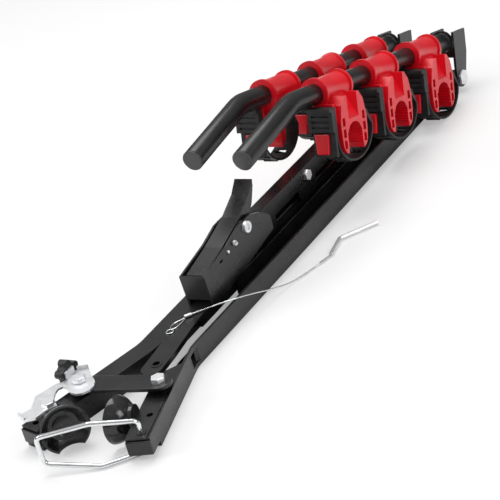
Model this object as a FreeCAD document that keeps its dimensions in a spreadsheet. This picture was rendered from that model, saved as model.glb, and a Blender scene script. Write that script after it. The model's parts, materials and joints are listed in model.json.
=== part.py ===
import FreeCAD, Part
import math
import os
import re

import Sketcher

# Folded three-cycle tow-bar rack, lying on the floor on its two rails.
# Millimetres. The origin is the centre of the tow ball's seat, +Y runs along the mast towards the arm
# hinge and +Z points up, away from the floor.

SIZES = [
    # Mast rails and their flared legs
    ("rail_width", 32.0, "width of one square mast rail"),
    ("rail_height", 30.0, "height of a rail"),
    ("rail_wall", 3.0, "wall of a rail"),
    ("mast_half", 42.0, "mid line of the mast to the outer face of a rail"),
    ("rail_far", 945.0, "far end of the rails"),
    ("bend_y", 180.0, "where the outer face of a rail bends outwards"),
    ("bend_round", 70.0, "radius of that bend"),
    ("rim", 4.0, "thickness of the open trough's outer wall"),
    ("ridge_near", 345.0, "near end of the ridge inside the trough"),
    ("leg_flare", 15.9, "angle of each leg to the mast, degrees"),
    ("leg_end_y", -14.0, "outer corner of a leg's end"),
    ("leg_hole", 4.2, "radius of the plain hole in each leg"),
    ("leg_hole_in", 14.0, "leg's outer face to its plain hole"),
    ("right_hole_back", 50.0, "right leg's end to its plain hole"),
    ("seam_in", 2.6, "leg's outer face to the open seam of its pressed tray"),
    ("seam_wide", 1.2, "width of that seam"),
    ("seam_deep", 2.0, "depth of that seam"),
    ("seam_long", 122.0, "length of that seam"),
    ("dimple_radius", 18.0, "radius of the press mark at the bend"),
    ("dimple_deep", 2.8, "depth of that mark"),
    ("tab_thick", 3.0, "folded tab across a leg's end"),
    ("tab_drop", 3.6, "gap above that tab"),
    ("tab_lift", 7.0, "floor to that tab"),
    # Channel between the rails
    ("spine_near", 252.0, "near end of the channel between the rails"),
    ("spine_thick", 3.0, "sheet of that channel"),
    ("spine_drop", 17.0, "rail tops to the channel's floor"),
    ("spine_lip", 4.0, "rail tops to the channel's side walls"),
    # Head and arm hinge
    ("head_plate", 8.0, "end plate over the rails"),
    ("head_half", 22.0, "half width of the head block"),
    ("head_top", 8.0, "top of the head block"),
    ("head_bottom", 26.0, "rail tops to the head block's underside"),
    ("head_nose", 17.0, "hinge axis to the head block's far face"),
    ("pivot_y", 983.0, "arm hinge axis along the mast"),
    ("pivot_z", -8.0, "arm hinge axis above the seat centre"),
    ("axle_radius", 8.0, "arm hinge axle"),
    ("axle_play", 0.06, "radial running clearance on an axle or bolt"),
    ("seat_play", 0.02, "radial clearance of a pin that stays put"),
    ("side_play", 0.3, "sideways gap between pieces that move"),
    ("nut_high", 4.0, "axle nut height"),
    ("nut_radius", 13.0, "axle nut across its corners, as a radius"),
    # Arms
    ("arm_side", 47.0, "mid line of the mast to an arm's bracket"),
    ("arm_toe", 0.7, "toe-in of an arm, degrees"),
    ("arm_tilt", 14.5, "slope of a folded arm against the mast, degrees"),
    ("arm_high", 58.0, "hinge axis to the arm tube's axis"),
    ("arm_radius", 15.0, "arm tube"),
    ("arm_bore", 12.6, "inside radius of the arm tube"),
    ("arm_root", 10.0, "hinge axis to the arm tube's end"),
    ("arm_bend", 474.0, "hinge axis to the tube's bend"),
    ("arm_kink", 20.0, "angle of the bent end, degrees"),
    ("arm_end_long", 140.0, "bend to the tube's free end"),
    ("arm_bend_radius", 70.0, "radius of the bend"),
    ("cap_rim", 3.0, "end cap's rim"),
    ("cap_plug", 12.0, "end cap's plug length"),
    ("web_at", 12.0, "hinge axis to the bracket's web"),
    ("plate", 4.0, "bracket sheet"),
    ("bracket_half", 20.0, "half width of a bracket over its wings"),
    ("wing_far", 24.0, "hinge axis to a wing's far edge"),
    ("wing_above", 16.0, "arm axis to a wing's top"),
    ("eye_radius", 15.0, "rounding of a wing about the hinge"),
    ("bush_radius", 12.0, "bush between a bracket's wings"),
    ("weld_ring", 4.0, "ring about the tube at its bracket"),
    # Cradles
    ("cradle_first", 375.0, "hinge axis to the cradle nearest the free end"),
    ("cradle_pitch", 137.0, "spacing of the cradles"),
    ("tube_play", 0.1, "radial clearance between a cradle and its tube"),
    ("sleeve_half", 36.0, "half length of a cradle's sleeve"),
    ("sleeve_radius", 20.0, "cradle's sleeve"),
    ("collar_radius", 23.0, "collars at the sleeve's ends"),
    ("collar_long", 5.0, "length of a collar"),
    ("face_in", 12.0, "arm axis to the inner side of the saddle"),
    ("face_out", 39.0, "arm axis to the saddle's end face"),
    ("saddle_half", 36.0, "half width of a saddle"),
    ("saddle_foot", 85.0, "arm axis to the saddle's feet"),
    ("channel_half", 19.0, "half width of the channel for a cycle tube"),
    ("channel_roof", 46.0, "arm axis to the channel's roof"),
    ("tooth_deep", 1.8, "depth of the channel's teeth"),
    ("tooth_pitch", 4.0, "pitch of the teeth"),
    ("cell_deep", 9.0, "depth of the open cells in a saddle's feet"),
    ("scoop_half", 14.0, "half width of the scoop over the saddle"),
    # Straps
    ("strap_near", 2.0, "arm axis to the strap's inner edge"),
    ("strap_wide", 34.0, "width of a strap"),
    ("strap_thick", 3.0, "thickness of a strap"),
    ("strap_radius", 51.0, "outside radius of a strap's hanging loop"),
    ("strap_u", 6.0, "cradle's middle to the loop's centre"),
    ("strap_w", 60.0, "arm axis to the loop's centre"),
    ("strap_fall", 43.0, "loop's centre to its lowest point"),
    ("strap_slot", 11.0, "length of a strap's holes"),
    ("strap_slot_wide", 14.0, "width of a strap's holes"),
    ("buckle_thick", 12.0, "buckle block"),
    ("buckle_top", 17.0, "arm axis to the buckle's top"),
    ("buckle_foot", 50.0, "arm axis to the buckle block's foot"),
    ("frame_thick", 5.0, "frame about the release button"),
    ("frame_foot", 87.0, "arm axis to that frame's foot"),
    ("button_rest", 3.5, "how far a button stands out"),
    ("button_travel", 2.6, "how far a button goes in"),
    # Lever box, lever and pull bar
    ("box_half", 20.0, "half width of the lever box"),
    ("box_sheet", 3.0, "lever box sheet"),
    ("box_near", 272.0, "near face of the lever box"),
    ("box_long", 180.0, "length of the lever box"),
    ("box_high", 47.0, "height of the lever box's near face"),
    ("lever_y", 390.0, "lever bolt along the mast"),
    ("lever_z", 57.0, "lever bolt above the rails"),
    ("lever_bolt", 5.0, "lever bolt radius"),
    ("lever_half", 14.0, "half width of the lever"),
    ("lever_sheet", 3.0, "lever sheet"),
    ("bar_lift", 0.3, "gap under the pull bar"),
    ("bar_thick", 4.0, "pull bar thickness"),
    ("bar_half", 15.0, "half width of the pull bar"),
    ("bar_near", 122.0, "centre of the pull bar's round end"),
    ("bar_shift", 17.0, "sideways shift of the pull bar's round end"),
    ("bar_far", 330.0, "far end of the pull bar"),
    # Upper beam
    ("beam_left", -22.0, "left face of the upper beam"),
    ("beam_wide", 22.0, "width of the upper beam"),
    ("beam_foot", 17.0, "underside of the upper beam"),
    ("beam_high", 24.0, "height of the upper beam"),
    ("beam_near", 462.0, "near end of the upper beam"),
    ("beam_far", 720.0, "far end of the upper beam"),
    ("beam_bolt_y", 590.0, "cross bolt of the upper beam"),
    # Clamp
    ("ball_radius", 25.5, "seat for the 50 mm tow ball"),
    ("ball_y", 15.0, "ball along the mast, counted from the mast's own datum"),
    ("cup_radius", 32.0, "outside of the fixed cup"),
    ("left_radius", 34.0, "outside of the jaw's cup"),
    ("cup_mouth", 30.5, "mouth of the jaw's cup"),
    ("cup_gap", 9.0, "mid plane of the ball to a cup's rim"),
    ("neck_radius", 19.0, "room for the tow ball's neck"),
    ("neck_top", 12.0, "ball centre to the top of that room"),
    ("jaw_open", 34.0, "how far the jaw stands open, degrees"),
    ("jaw_turn", 5.0, "how far the jaw's cup is set round the ball, degrees"),
    ("pin_in", 16.0, "leg's outer face to the clamp's bolts"),
    ("jaw_back", 90.0, "left leg's end to the jaw's pivot"),
    ("tie_back", 108.0, "right leg's end to the tie bar's bolt"),
    ("tie_lift", 6.0, "leg tops to the tie bar"),
    ("tie_thick", 5.0, "tie bar thickness"),
    ("tie_half", 17.0, "half width of the tie bar"),
    ("pin_radius", 5.0, "clamp bolts"),
    ("jaw_thick", 3.0, "zinc plate of the jaw"),
    ("arm_to_bolt", 57.0, "cup centre to the jaw's second bolt"),
    # Bail, star knob and lanyard
    ("bail_radius", 3.1, "rod of the safety bail"),
    ("bail_high", 34.1, "leg tops to the bail's high corner"),
    ("bail_back", 12.0, "right leg's end to the bail's hinge"),
    ("bail_hole", 3.16, "hole for the bail in the leg's top"),
    ("bail_bend", 8.0, "corner radius of the bail"),
    ("knob_y", 84.0, "star knob along the mast"),
    ("knob_z", 15.0, "star knob above the legs"),
    ("knob_radius", 13.0, "star knob's body"),
    ("stud_radius", 4.0, "star knob's stud"),
    ("wire_radius", 1.0, "lanyard wire"),
    ("hitch_radius", 3.0, "hitch pin rod"),
]

V = FreeCAD.Vector
doc = FreeCAD.newDocument("tow_bar_cycle_rack")
sheet = doc.addObject("Spreadsheet::Sheet", "Sizes")
for row, (alias, number, note) in enumerate(SIZES, start=1):
    sheet.set(f"A{row}", note)
    sheet.set(f"B{row}", str(number))
    sheet.setAlias(f"B{row}", alias)
doc.recompute()

WORDS = {alias for alias, _, _ in SIZES}
SIDE = "rotation(vector(1; 1; 1); 120)"
FLAT = "rotation(vector(0; 0; 1); 0)"
nodes = []


def bound(formula):
    """The formula with every size's name written as a reference to the sheet."""
    return re.sub(r"[a-z][a-z_]*", lambda m: "Sizes." + m[0] if m[0] in WORDS else m[0], str(formula))


def value(formula):
    """The number that a formula comes to."""
    return float(sheet.evalExpression(bound(formula)))


def place(thing, rotation=FLAT, x="0", y="0", z="0", within=None):
    """Ties an object's placement to the sheet, inside another placement if one is given."""
    own = bound(f"placement(vector({x}; {y}; {z}); {rotation})")
    thing.setExpression("Placement", f"{within} * {own}" if within else own)


def keep(thing, label):
    """Names a finished sub-part, which then becomes a node."""
    thing.Label = label
    nodes.append(thing)
    return thing


class Piece:
    """A PartDesign body built up from flat outlines, each padded or cut between two heights."""

    def __init__(self, label):
        self.body = doc.addObject("PartDesign::Body", label)
        self.count = 0
        keep(self.body, label)

    def sketch(self, plane, base):
        sketch = self.body.newObject("Sketcher::SketchObject", f"{self.body.Name}_sketch")
        side = [f for f in self.body.Origin.OriginFeatures if f.Role == plane][0]
        sketch.AttachmentSupport = (side, [""])
        sketch.MapMode = "FlatFace"
        sketch.setExpression(".AttachmentOffset.Base.z", bound(base))
        return sketch

    def polygon(self, sketch, corners):
        first = sketch.GeometryCount
        points = [V(value(x), value(y), 0) for x, y in corners]
        total = len(points)
        for i in range(total):
            sketch.addGeometry(Part.LineSegment(points[i], points[(i + 1) % total]))
        rules = []
        for i in range(total):
            rules.append(Sketcher.Constraint("Coincident", first + i, 2, first + (i + 1) % total, 1))
        for i in range(total):
            rules.append(Sketcher.Constraint("DistanceX", -1, 1, first + i, 1, points[i].x))
            rules.append(Sketcher.Constraint("DistanceY", -1, 1, first + i, 1, points[i].y))
        start = sketch.ConstraintCount + total
        sketch.addConstraint(rules)
        for i, (x, y) in enumerate(corners):
            sketch.setExpression(f"Constraints[{start + 2 * i}]", bound(x))
            sketch.setExpression(f"Constraints[{start + 2 * i + 1}]", bound(y))

    def circle(self, sketch, x, y, radius):
        at = sketch.addGeometry(Part.Circle(V(value(x), value(y), 0), V(0, 0, 1), value(radius)))
        start = sketch.ConstraintCount
        sketch.addConstraint([
            Sketcher.Constraint("DistanceX", -1, 1, at, 3, value(x)),
            Sketcher.Constraint("DistanceY", -1, 1, at, 3, value(y)),
            Sketcher.Constraint("Radius", at, value(radius)),
        ])
        for offset, formula in enumerate((x, y, radius)):
            sketch.setExpression(f"Constraints[{start + offset}]", bound(formula))

    def feature(self, kind, sketch, length):
        feature = self.body.newObject(f"PartDesign::{kind}", f"{self.body.Name}_{kind}")
        feature.Profile = sketch
        feature.setExpression("Length", bound(length))
        sketch.Visibility = False
        before = self.body.Shape.Volume if self.count else 0.0
        if kind == "Pocket":
            feature.Reversed = True
        doc.recompute()
        self.count += 1
        after = self.body.Shape.Volume
        if (kind == "Pad" and after <= before) or (kind == "Pocket" and after >= before):
            raise RuntimeError(f"{self.body.Label}: {feature.Name} changed nothing")
        return self

    def pad(self, corners, base, length, plane="XY_Plane"):
        sketch = self.sketch(plane, base)
        self.polygon(sketch, corners)
        return self.feature("Pad", sketch, length)

    def cut(self, corners, base, length, plane="XY_Plane"):
        sketch = self.sketch(plane, base)
        self.polygon(sketch, corners)
        return self.feature("Pocket", sketch, length)

    def disc(self, x, y, radius, base, length, plane="XY_Plane"):
        sketch = self.sketch(plane, base)
        self.circle(sketch, x, y, radius)
        return self.feature("Pad", sketch, length)

    def hole(self, x, y, radius, base, length, plane="XY_Plane"):
        sketch = self.sketch(plane, base)
        self.circle(sketch, x, y, radius)
        return self.feature("Pocket", sketch, length)

    def turn(self, corners, axis="H_Axis"):
        sketch = self.sketch("XY_Plane", "0")
        self.polygon(sketch, corners)
        turned = self.body.newObject("PartDesign::Revolution", f"{self.body.Name}_turned")
        turned.Profile = sketch
        turned.ReferenceAxis = (sketch, [axis])
        turned.Angle = 360
        doc.recompute()
        self.count += 1
        return self

    def place(self, rotation=FLAT, x="0", y="0", z="0", within=None):
        place(self.body, rotation, x, y, z, within)
        return self


def box_corners(x_low, x_high, y_low, y_high):
    return [(x_low, y_low), (x_high, y_low), (x_high, y_high), (x_low, y_high)]


def mirrored(corners):
    return [(f"-({x})", y) for x, y in corners]


def cylinder(name, radius, height):
    part = doc.addObject("Part::Cylinder", name)
    part.setExpression("Radius", bound(radius))
    part.setExpression("Height", bound(height))
    return part


def prism(name, radius, height):
    part = doc.addObject("Part::Prism", name)
    part.Polygon = 6
    part.setExpression("Circumradius", bound(radius))
    part.setExpression("Height", bound(height))
    return part


def joined(kind, name, parts):
    part = doc.addObject(kind, name)
    if kind == "Part::Cut":
        part.Base, part.Tool = parts
    elif kind == "Part::Compound":
        part.Links = parts
    else:
        part.Shapes = parts
    return part


def ring(name, outer, inner, height):
    """A plain ring along Z."""
    solid = cylinder(f"{name}_outside", outer, height)
    bore = cylinder(f"{name}_inside", inner, f"{height} + 2")
    place(bore, z="-1")
    return joined("Part::Cut", name, (solid, bore))


def bolt(name, shank, low, high, head, head_high, both_ends=True):
    """A bolt along Z with a hexagon above the height high, and one below low unless it is flush there."""
    rod = cylinder(f"{name}_rod", shank, f"({high}) - ({low})")
    place(rod, z=low)
    top = prism(f"{name}_nut", head, head_high)
    place(top, z=high)
    if not both_ends:
        return joined("Part::MultiFuse", name, [rod, top])
    foot = prism(f"{name}_head", head, f"({head_high}) * 0.7")
    place(foot, z=f"({low}) - ({head_high}) * 0.7")
    return joined("Part::MultiFuse", name, [rod, top, foot])


# Rails and legs

LEG_X = "(mast_half + (bend_y - leg_end_y) * tan(leg_flare))"
LEG_Y = "leg_end_y"


def leg_point(inward, back, side=1):
    """A point on a leg, measured inwards from its outer face and back from its end."""
    x = f"({LEG_X} - ({inward}) * cos(leg_flare) - ({back}) * sin(leg_flare))"
    y = f"({LEG_Y} - ({inward}) * sin(leg_flare) + ({back}) * cos(leg_flare))"
    return (x if side > 0 else f"-{x}", y)


def rail_line(inward, beyond):
    """The line that runs down a rail and its leg at one distance inside the outer face."""
    line = [(f"mast_half - ({inward})", f"rail_far + {beyond}")]
    steps = 6
    for step in range(steps + 1):
        turned = f"({step} * leg_flare / {steps})"
        x = f"mast_half + bend_round - (bend_round + {inward}) * cos{turned}"
        y = f"bend_y + bend_round * tan(leg_flare / 2) - (bend_round + {inward}) * sin{turned}"
        line.append((x, y))
    line.append(leg_point(inward, f"-({beyond})"))
    return line


def rail_band(near, far, beyond):
    return rail_line(near, beyond) + rail_line(far, beyond)[::-1]


BAIL = ("leg_hole_in", "bail_back")
TIE = ("pin_in", "tie_back")
JAW = ("pin_in", "jaw_back")


def make_rail(label, side):
    turn = (lambda corners: corners) if side > 0 else mirrored
    rail = Piece(label)
    rail.pad(turn(rail_band("0", "rail_width", "0")), "-rail_height", "rail_height")
    inside = rail_band("rail_wall", "rail_width - rail_wall", "5")
    rail.cut(turn(inside), "rail_wall - rail_height", "rail_height - 2 * rail_wall")
    seam = [
        leg_point("seam_in", "-1"),
        leg_point("seam_in + seam_wide", "-1"),
        leg_point("seam_in + seam_wide", "seam_long"),
        leg_point("seam_in", "seam_long"),
    ]
    rail.cut(turn(seam), "-seam_deep", "seam_deep + 1")
    mark = f"{side} * (mast_half + dimple_radius - dimple_deep)"
    rail.hole(mark, "bend_y", "dimple_radius", "6 - rail_height", "rail_height - 12")
    plain = leg_point("leg_hole_in", "right_hole_back" if side > 0 else "bail_back", side)
    rail.hole(*plain, "leg_hole", "-rail_wall - 1", "rail_wall + 2")
    pin = leg_point(*(TIE if side > 0 else JAW), side)
    rail.hole(*pin, "pin_radius + seat_play", "-rail_wall - 1", "rail_wall + 2")
    inner = "mast_half - rail_width"
    trough_top = [
        ("mast_half - rim", "ridge_near"),
        ("mast_half - rim", "rail_far - 12"),
        (f"{inner} + rail_wall", "rail_far - 12"),
        (f"{inner} + rail_wall", "ridge_near"),
    ]
    rail.cut(turn(trough_top), "-rail_wall - 1", "rail_wall + 2")
    if side > 0:
        mouth = [
            leg_point("rail_width + 2", "141"),
            leg_point("rim", "165"),
            ("mast_half - rim + 0.7", "bend_y"),
            ("mast_half - rim", "bend_y + 14"),
            ("mast_half - rim", "ridge_near + 0.5"),
            (f"{inner} - 2", "ridge_near + 0.5"),
            (f"{inner} - 2", "bend_y"),
        ]
        rail.cut(mouth, "rail_wall - rail_height", "rail_height - rail_wall + 1")
        rail.hole(*leg_point(*BAIL), "bail_hole", "-rail_wall - 1", "rail_wall + 2")
        notch = [
            leg_point("-1", "-1"),
            leg_point("-1", "bail_back + 14"),
            leg_point("rail_width + 1", "bail_back + 14"),
            leg_point("rail_width + 1", "-1"),
        ]
        rail.cut(notch, "-rail_height - 1", "tab_lift + 1")
    return rail


def make_tab(label, side):
    corners = [
        leg_point("0", "0"),
        leg_point("rail_width", "0"),
        leg_point("rail_width", "-tab_thick"),
        leg_point("0", "-tab_thick"),
    ]
    corners = corners if side > 0 else mirrored(corners)
    tab = Piece(label)
    tab.pad(corners, "tab_lift - rail_height", "rail_height - tab_lift - tab_drop")
    return tab


make_rail("right_rail", 1)
make_rail("left_rail", -1)
make_tab("right_leg_tab", 1)
make_tab("left_leg_tab", -1)

trough = "(mast_half - rail_width)"
spine = Piece("mast_spine")
spine.pad(box_corners(f"-{trough}", trough, "spine_near", "rail_far"), "-spine_drop", "spine_thick")
for wall_low, wall_high in ((f"-{trough}", f"-{trough} + spine_thick"), (f"{trough} - spine_thick", trough)):
    spine.pad(box_corners(wall_low, wall_high, "spine_near", "rail_far"), "spine_thick - spine_drop",
              "spine_drop - spine_thick - spine_lip")

# Head block, axle and nuts. In this view X is along the mast, Y is up and Z is across it.

head = Piece("mast_head")
head.pad(box_corners("rail_far", "rail_far + head_plate", "-rail_height", "0"), "-mast_half", "2 * mast_half")
head.pad(box_corners("rail_far + head_plate", "pivot_y + head_nose", "-head_bottom", "head_top"),
         "-head_half", "2 * head_half")
head.hole("pivot_y", "pivot_z", "axle_radius + seat_play", "-head_half - 1", "2 * head_half + 2")
head.place(SIDE)

BRACKET_OUT = "(arm_side + bracket_half)"
axle = cylinder("head_axle", "axle_radius", f"2 * {BRACKET_OUT} + 2 * side_play + 2 * nut_high")
place(axle, "rotationy(90)", f"-({BRACKET_OUT} + side_play + nut_high)", "pivot_y", "pivot_z")
keep(axle, "head_axle")

nuts = []
for side, start in ((1, f"{BRACKET_OUT} + side_play"), (-1, f"-({BRACKET_OUT} + side_play + nut_high)")):
    nut = prism(f"nut_body_{len(nuts)}", "nut_radius", "nut_high")
    bore = cylinder(f"nut_bore_{len(nuts)}", "axle_radius + seat_play", "nut_high + 2")
    place(bore, z="-1")
    cut = joined("Part::Cut", f"nut_{len(nuts)}", (nut, bore))
    place(cut, "rotationy(90)", start, "pivot_y", "pivot_z")
    nuts.append(cut)
keep(joined("Part::Compound", "axle_nuts", nuts), "axle_nuts")

washers = []
gap = "(arm_side - bracket_half - head_half - side_play)"
for start in ("head_half", f"-head_half - {gap}"):
    washer = ring(f"head_washer_{len(washers)}", "bush_radius + 2", "axle_radius + seat_play", gap)
    place(washer, "rotationy(90)", start, "pivot_y", "pivot_z")
    washers.append(washer)
keep(joined("Part::Compound", "head_washers", washers), "head_washers")


# Arms. Each arm's own frame starts at the hinge: X is along the arm, Y is away from it and Z across.

def across(side, low, high):
    """Start and length of a stretch across an arm, counted outwards."""
    start = low if side > 0 else f"-({high})"
    return start, f"({high}) - ({low})"


def make_bracket(label, side):
    bracket = Piece(label)
    top = "arm_high + wing_above"
    wing = [
        ("-web_at - plate", top),
        ("wing_far", top),
        ("wing_far", "arm_high - 20"),
        ("eye_radius", "0"),
        ("-eye_radius", "0"),
        ("-web_at - plate", "eye_radius"),
    ]
    for low in ("-bracket_half", "bracket_half - plate"):
        bracket.pad(wing, low, "plate")
        bracket.disc("0", "0", "eye_radius", low, "plate")
        if bracket.count == 2:
            web = box_corners("-web_at - plate", "-web_at", "arm_high - 24", "arm_high + wing_above - 6")
            bracket.pad(web, "-bracket_half", "2 * bracket_half - plate")
    bracket.disc("0", "0", "bush_radius", "-bracket_half", "2 * bracket_half")
    bracket.disc("arm_high", "0", "arm_radius + weld_ring", "-web_at - plate - 3", "3", "YZ_Plane")
    bracket.hole("arm_high", "0", "arm_radius + 0.4", "-web_at - plate - 4", "plate + 5", "YZ_Plane")
    bracket.hole("0", "0", "axle_radius + axle_play", "-bracket_half - 1", "2 * bracket_half + 2")
    bracket.place(f"rotationx(-arm_tilt) * {SIDE}", f"{side} * arm_side", "pivot_y", "pivot_z")
    return bracket


def make_tube(label, side, frame):
    tube = Piece(label)
    path = tube.sketch("XY_Plane", "0")
    bend = V(-value("arm_bend"), value("arm_high"), 0)
    kink = math.radians(value("arm_kink"))
    end = bend - V(math.cos(kink), math.sin(kink), 0) * value("arm_end_long")
    path.addGeometry(Part.LineSegment(V(-value("arm_root"), value("arm_high"), 0), bend))
    path.addGeometry(Part.LineSegment(bend, end))
    path.addConstraint([
        Sketcher.Constraint("Coincident", 0, 2, 1, 1),
        Sketcher.Constraint("DistanceX", -1, 1, 0, 1, -value("arm_root")),
        Sketcher.Constraint("DistanceY", -1, 1, 0, 1, value("arm_high")),
        Sketcher.Constraint("DistanceX", -1, 1, 0, 2, bend.x),
        Sketcher.Constraint("DistanceY", -1, 1, 0, 2, bend.y),
        Sketcher.Constraint("DistanceX", -1, 1, 1, 2, end.x),
        Sketcher.Constraint("DistanceY", -1, 1, 1, 2, end.y),
    ])
    for number, formula in enumerate((
        "-arm_root", "arm_high", "-arm_bend", "arm_high",
        "-arm_bend - arm_end_long * cos(arm_kink)", "arm_high - arm_end_long * sin(arm_kink)",
    ), start=1):
        path.setExpression(f"Constraints[{number}]", bound(formula))
    path.fillet(0, 1, bend + V(10, 0, 0), bend + (end - bend) * 0.1, value("arm_bend_radius"), True, True)
    doc.recompute()
    profile = tube.sketch("YZ_Plane", "-arm_root")
    tube.circle(profile, "arm_high", "0", "arm_radius")
    tube.circle(profile, "arm_high", "0", "arm_bore")
    pipe = tube.body.newObject("PartDesign::AdditivePipe", f"{label}_pipe")
    pipe.Profile = profile
    pipe.Spine = (path, ["Edge1", "Edge2", "Edge3"])
    doc.recompute()
    tube.place(within=frame)
    return tube


def make_cap(label, side, frame):
    cap = Piece(label)
    cap.disc("0", "0", "arm_radius", "-cap_rim", "cap_rim", "YZ_Plane")
    cap.disc("0", "0", "arm_bore - seat_play", "0", "cap_plug", "YZ_Plane")
    end_x = "-arm_bend - arm_end_long * cos(arm_kink)"
    end_y = "arm_high - arm_end_long * sin(arm_kink)"
    cap.place("rotationz(arm_kink)", end_x, end_y, "0", frame)
    return cap


def saddle_outline():
    """Half of the saddle's end face is a foot with teeth inside, and the other half mirrors it."""
    half = [
        ("20", "-6"),
        ("saddle_half - 6", "-18"),
        ("saddle_half", "-42"),
        ("saddle_half - 1", "-66"),
        ("saddle_half - 3", "-saddle_foot + 7"),
        ("saddle_half - 8", "-saddle_foot"),
        ("channel_half + 2", "-saddle_foot - 3"),
    ]
    for step in range(6):
        half.append(("channel_half + tooth_deep", f"-saddle_foot + 4 + {step} * tooth_pitch"))
        half.append(("channel_half", f"-saddle_foot + 6 + {step} * tooth_pitch"))
    half += [("channel_half - 6", "-channel_roof - 4"), ("4", "-channel_roof")]
    return half + mirrored(half)[::-1]


def make_cradle(label, side, frame, along):
    cradle = Piece(label)
    bore = "arm_radius + tube_play"
    cradle.turn([
        ("-sleeve_half", bore),
        ("-sleeve_half", "collar_radius"),
        ("collar_long - sleeve_half", "collar_radius"),
        ("collar_long - sleeve_half", "sleeve_radius"),
        ("sleeve_half - collar_long", "sleeve_radius"),
        ("sleeve_half - collar_long", "collar_radius"),
        ("sleeve_half", "collar_radius"),
        ("sleeve_half", bore),
    ])
    cradle.pad(saddle_outline(), *across(side, "face_in", "face_out"))
    clamp = box_corners("-20", "20", "-42", "-16")
    cradle.pad(clamp, *across(side, "-14", "face_in"))
    strap_in = across(side, "strap_near", "strap_near + strap_wide - 4")
    cradle.pad(box_corners("strap_u - strap_radius + strap_thick", "2 - saddle_half", "-40", "-14"), *strap_in)
    anchor_in = across(side, "face_in", "strap_near + strap_wide")
    cradle.pad(box_corners("saddle_half - 6", "saddle_half + 4", "-50", "-36"), *anchor_in)
    scoop = [("-6", "face_in + 7"), ("-channel_roof + 4", "face_out + 1"), ("8", "face_out + 1")]
    if side < 0:
        scoop = [(x, f"-({y})") for x, y in scoop]
    cradle.cut(scoop, "-scoop_half", "2 * scoop_half", "YZ_Plane")
    for foot in (-1, 1):
        for low in ("80", "64", "48"):
            inner, outer = f"{foot} * (channel_half + 5)", f"{foot} * (saddle_half - 5)"
            cell = box_corners(inner, outer, f"-{low}", f"-{low} + 12")
            cradle.cut(cell, *across(side, "face_out - cell_deep", "face_out + 1"))
    cradle.hole("0", "0", bore, "-sleeve_half - 8", "2 * sleeve_half + 16", "YZ_Plane")
    cradle.place(FLAT, f"-({along})", "arm_high", "0", frame)
    return cradle


def strap_outline():
    """The loop hangs from the buckle, goes under the cycle tube and back up to the cradle's anchor."""
    steps = 18
    outer = [("strap_u - strap_radius", "-buckle_top - 2")]
    inner = [("strap_u - strap_radius + strap_thick", "-buckle_top - 2")]
    for step in range(steps + 1):
        angle = 180 + 180 * step / steps
        for line, radius in ((outer, "strap_radius"), (inner, "(strap_radius - strap_thick)")):
            x = f"strap_u + {radius} * cos({angle})"
            fall = radius.replace("strap_radius", "strap_fall")
            y = f"-strap_w + {fall} * sin({angle})"
            line.append((x, y))
    outer.append(("saddle_half + 4 + strap_thick", "-36"))
    inner += [("saddle_half + 4", "-44"), ("saddle_half + 4", "-36")]
    return outer + inner[::-1]


BUTTON = [
    ("-buckle_foot - 3.5", "strap_near + 1.5"),
    ("-buckle_foot - 3.5", "strap_near + 24.5"),
    ("-frame_foot + 4", "strap_near + 22.5"),
    ("-frame_foot + 4", "strap_near + 3.5"),
]
WINDOW = [
    ("-buckle_foot - 3.2", "strap_near + 1.2"),
    ("-buckle_foot - 3.2", "strap_near + 24.8"),
    ("-frame_foot + 3.7", "strap_near + 22.8"),
    ("-frame_foot + 3.7", "strap_near + 3.2"),
]
STRAP_BACK = "(strap_u - strap_radius)"


def on_side(corners, side):
    return corners if side > 0 else [(x, f"-({y})") for x, y in corners]


def make_strap(label, side, frame, along):
    strap = Piece(label)
    strap.pad(strap_outline(), *across(side, "strap_near", "strap_near + strap_wide"))
    block = box_corners(f"{STRAP_BACK} - buckle_thick", STRAP_BACK, "-buckle_foot", "-buckle_top")
    strap.pad(block, *across(side, "strap_near - 4", "strap_near + strap_wide + 2"))
    tab = box_corners(f"{STRAP_BACK} - buckle_thick - 5", STRAP_BACK, "-buckle_top - 4", "-buckle_top + 1")
    strap.pad(tab, *across(side, "strap_near - 4", "strap_near + strap_wide + 2"))
    frame_box = box_corners(f"{STRAP_BACK} - frame_thick", STRAP_BACK, "-frame_foot", "-buckle_foot")
    strap.pad(frame_box, *across(side, "strap_near - 2", "strap_near + strap_wide"))
    strap.cut(on_side(WINDOW, side), f"{STRAP_BACK} - frame_thick - 1", "frame_thick + 1", "YZ_Plane")
    for step in range(3):
        top = f"-buckle_top - 9 - {step} * 8"
        groove = box_corners(f"{STRAP_BACK} - buckle_thick - 1", f"{STRAP_BACK} - buckle_thick + 2.5", f"{top} - 3", top)
        strap.cut(groove, *across(side, "strap_near + 2", "strap_near + strap_wide - 4"))
    for step in (-1, 0, 1):
        middle = f"(strap_u + {step} * 2 * strap_slot)"
        start = "strap_near + (strap_wide - strap_slot_wide) / 2"
        low, length = across(side, start, f"{start} + strap_slot_wide")
        slot = [
            (low, f"{middle} - strap_slot / 2"),
            (f"{low} + {length}", f"{middle} - strap_slot / 2"),
            (f"{low} + {length}", f"{middle} + strap_slot / 2"),
            (low, f"{middle} + strap_slot / 2"),
        ]
        turned = [(y, f"{x}") for x, y in slot]
        strap.cut(turned, "strap_w + strap_fall - 30", "40", "XZ_Plane")
    strap.place(FLAT, f"-({along})", "arm_high", "0", frame)
    return strap


def make_button(label, side, frame, along):
    button = Piece(label)
    start = f"{STRAP_BACK} - frame_thick - button_rest"
    button.pad(on_side(BUTTON, side), start, "button_rest + frame_thick - button_travel - side_play", "YZ_Plane")
    button.place(FLAT, f"-({along})", "arm_high", "0", frame)
    return button


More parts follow.
